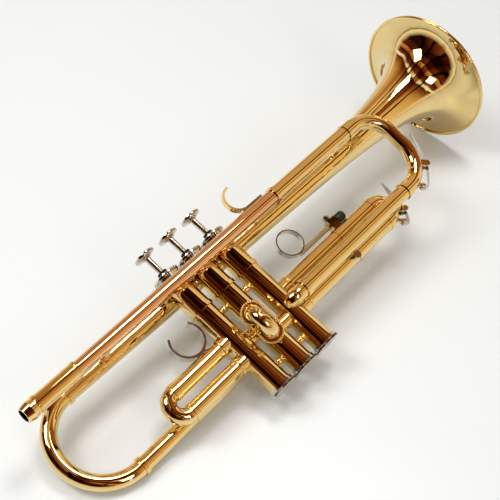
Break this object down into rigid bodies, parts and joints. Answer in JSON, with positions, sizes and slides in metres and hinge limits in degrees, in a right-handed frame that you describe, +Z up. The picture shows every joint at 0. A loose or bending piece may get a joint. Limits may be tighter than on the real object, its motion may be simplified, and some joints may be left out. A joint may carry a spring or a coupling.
{
  "type": "trumpet",
  "caption": "Three-valve trumpet lying on its left side with slides pushed in: flared bell, leadpipe, piston valves, tuning slides, hooks and finger ring",
  "frame": {"origin": "centre of the bounding box's bottom face, on the resting surface", "axes": "+X along the trumpet towards its bell, +Y towards the finger buttons, +Z up from the resting surface"},
  "size_m": [0.4996, 0.167, 0.1233],
  "materials": {
    "gold_lacquered_brass": "clear-lacquered, polished",
    "nickel_plate": "bright nickel plate",
    "monel_piston": "honed nickel alloy",
    "black_felt": "pressed felt",
    "cork": "sanded cork",
    "black_nylon": "moulded",
    "spring_steel": "drawn wire"
  },
  "bodies": {
    "body": {"valve_casing_1": "gold_lacquered_brass", "valve_casing_2": "gold_lacquered_brass", "valve_casing_3": "gold_lacquered_brass", "top_caps": "nickel_plate", "bottom_caps": "nickel_plate", "stem_felts": "black_felt", "valve_guides": "black_nylon", "valve_links": "gold_lacquered_brass", "mouthpiece_receiver": "gold_lacquered_brass", "leadpipe": "gold_lacquered_brass", "joint_rings": "gold_lacquered_brass", "main_outer_sleeves": "gold_lacquered_brass", "main_elbow": "gold_lacquered_brass", "bell": "gold_lacquered_brass", "bell_rim_wire": "gold_lacquered_brass", "bell_bow": "gold_lacquered_brass", "bell_tail": "gold_lacquered_brass", "body_braces": "gold_lacquered_brass", "first_outer_sleeves": "gold_lacquered_brass", "second_outer_sleeves": "gold_lacquered_brass", "third_outer_sleeves": "gold_lacquered_brass", "thumb_hook": "nickel_plate", "finger_hook": "gold_lacquered_brass", "slide_stop_screw": "nickel_plate", "valve_spring_1": "spring_steel", "valve_spring_2": "spring_steel", "valve_spring_3": "spring_steel"},
    "valve_1": {"piston_1": "monel_piston", "valve_stem_1": "nickel_plate", "finger_button_1": "nickel_plate"},
    "valve_2": {"piston_2": "monel_piston", "valve_stem_2": "nickel_plate", "finger_button_2": "nickel_plate"},
    "valve_3": {"piston_3": "monel_piston", "valve_stem_3": "nickel_plate", "finger_button_3": "nickel_plate"},
    "main_slide": {"main_slide_legs": "nickel_plate", "main_slide_ferrules": "gold_lacquered_brass", "main_slide_bow": "gold_lacquered_brass", "main_key_saddle": "gold_lacquered_brass", "main_key_pin": "nickel_plate"},
    "main_water_key": {"main_key_lever": "nickel_plate", "main_key_cork": "cork"},
    "first_slide": {"first_slide_legs": "nickel_plate", "first_slide_ferrules": "gold_lacquered_brass", "first_slide_bow": "gold_lacquered_brass"},
    "second_slide": {"second_slide_legs": "nickel_plate", "second_slide_ferrules": "gold_lacquered_brass", "second_slide_bow": "gold_lacquered_brass"},
    "third_slide": {"third_slide_legs": "nickel_plate", "third_slide_sleeves": "gold_lacquered_brass", "third_slide_bow": "gold_lacquered_brass", "ring_clamp": "gold_lacquered_brass", "clamp_screw": "nickel_plate", "third_key_saddle": "gold_lacquered_brass", "third_key_pin": "nickel_plate"},
    "third_water_key": {"third_key_lever": "nickel_plate", "third_key_cork": "cork"},
    "third_finger_ring": {"finger_ring": "nickel_plate", "rod_knob": "black_nylon"}
  },
  "joints": [
    {"name": "valve_1_press", "type": "slide", "parent": "body", "child": "valve_1", "axis": [0, -0.9533, -0.302], "range_m": [0, 0.015], "stiffness_N_per_m": 60, "springref_m": -0.02, "deforming": ["valve_spring_1"]},
    {"name": "valve_2_press", "type": "slide", "parent": "body", "child": "valve_2", "axis": [0, -0.9533, -0.302], "range_m": [0, 0.015], "stiffness_N_per_m": 60, "springref_m": -0.02, "deforming": ["valve_spring_2"]},
    {"name": "valve_3_press", "type": "slide", "parent": "body", "child": "valve_3", "axis": [0, -0.9533, -0.302], "range_m": [0, 0.015], "stiffness_N_per_m": 60, "springref_m": -0.02, "deforming": ["valve_spring_3"]},
    {"name": "main_slide_pull", "type": "slide", "parent": "body", "child": "main_slide", "axis": [0.9962, -0.0263, 0.0831], "range_m": [0, 0.05]},
    {"name": "first_slide_pull", "type": "slide", "parent": "body", "child": "first_slide", "axis": [-0.9962, 0.0263, -0.0831], "range_m": [0, 0.024]},
    {"name": "second_slide_pull", "type": "slide", "parent": "body", "child": "second_slide", "axis": [-0.4848, -0.2641, 0.8338], "range_m": [0, 0.006]},
    {"name": "third_slide_pull", "type": "slide", "parent": "body", "child": "third_slide", "axis": [0.9962, -0.0263, 0.0831], "range_m": [0, 0.024]},
    {"name": "finger_ring_shift", "type": "slide", "parent": "third_slide", "child": "third_finger_ring", "axis": [0.9962, -0.0263, 0.0831], "range_m": [0, 0.008]},
    {"name": "main_key_turn", "type": "hinge", "parent": "main_slide", "child": "main_water_key", "pos_m": [0.13968, -0.04435, 0.06364], "axis": [-0.0868, -0.3837, 0.9194], "range_deg": [0, 7], "stiffness_Nm_per_rad": 0.02, "springref_deg": -20.05},
    {"name": "third_key_turn", "type": "hinge", "parent": "third_slide", "child": "third_water_key", "pos_m": [0.10183, -0.05127, 0.0429], "axis": [-0.0872, -0.3009, 0.9497], "range_deg": [0, 7], "stiffness_Nm_per_rad": 0.02, "springref_deg": -20.05}
  ]
}
